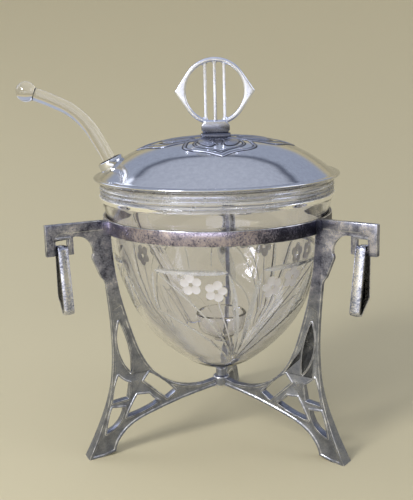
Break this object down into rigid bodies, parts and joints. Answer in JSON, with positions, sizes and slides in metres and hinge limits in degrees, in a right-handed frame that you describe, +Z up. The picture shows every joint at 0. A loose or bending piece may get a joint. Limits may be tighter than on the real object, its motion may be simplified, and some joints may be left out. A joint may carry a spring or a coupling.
{
  "type": "covered bowl on stand with ladle",
  "caption": "Covered cut-glass bowl hung in a footed stand with pierced legs and drop loops, with a domed lid, ring finial and glass ladle.",
  "frame": {"origin": "on the table, where the bowl's axis meets it", "axes": "+Z up along the bowl's axis; +Y towards the rear leg, so that the front view looks along +Y; +X to the right"},
  "size_m": [0.198, 0.171, 0.2221],
  "materials": {
    "tarnished_plate": "silver plate, tarnished dark grey-violet and worn bright on the edges",
    "polished_plate": "polished silver plate",
    "bare_brass": "turned, unplated",
    "clear_glass": "clear, with polished cuts and frosted flowers",
    "ladle_glass": "clear, fire polished"
  },
  "bodies": {
    "stand": {"band_ring": "tarnished_plate", "leg_left": "tarnished_plate", "leg_right": "tarnished_plate", "leg_rear": "tarnished_plate", "hub_boss": "tarnished_plate", "rest_peg": "tarnished_plate"},
    "bowl": {"glass_bowl": "clear_glass"},
    "lid": {"lid_shell": "polished_plate", "lid_collar": "polished_plate", "finial": "polished_plate", "finial_plinth": "polished_plate", "finial_stud": "bare_brass", "finial_washer": "bare_brass", "finial_nut": "bare_brass"},
    "ladle": {"ladle": "ladle_glass"},
    "loop_left": {"loop_left": "polished_plate"},
    "loop_right": {"loop_right": "polished_plate"},
    "loop_rear": {"loop_rear": "polished_plate"}
  },
  "joints": [
    {"name": "bowl_lift", "type": "slide", "parent": "stand", "child": "bowl", "axis": [0, 0, 1], "range_m": [0, 0.11]},
    {"name": "lid_lift", "type": "slide", "parent": "bowl", "child": "lid", "axis": [0, 0, 1], "range_m": [0, 0.12]},
    {"name": "ladle_slide", "type": "slide", "parent": "lid", "child": "ladle", "axis": [-0.422, -0.0568, 0.9048], "range_m": [0, 0.05]},
    {"name": "loop_left_swing", "type": "hinge", "parent": "stand", "child": "loop_left", "pos_m": [-0.08011, -0.04625, 0.1237], "axis": [-0.5, 0.866, 0], "range_deg": [-38, 180]},
    {"name": "loop_right_swing", "type": "hinge", "parent": "stand", "child": "loop_right", "pos_m": [0.08011, -0.04625, 0.1237], "axis": [-0.5, -0.866, 0], "range_deg": [-38, 180]},
    {"name": "loop_rear_swing", "type": "hinge", "parent": "stand", "child": "loop_rear", "pos_m": [0, 0.0925, 0.1237], "axis": [1, 0, 0], "range_deg": [-38, 180]}
  ]
}
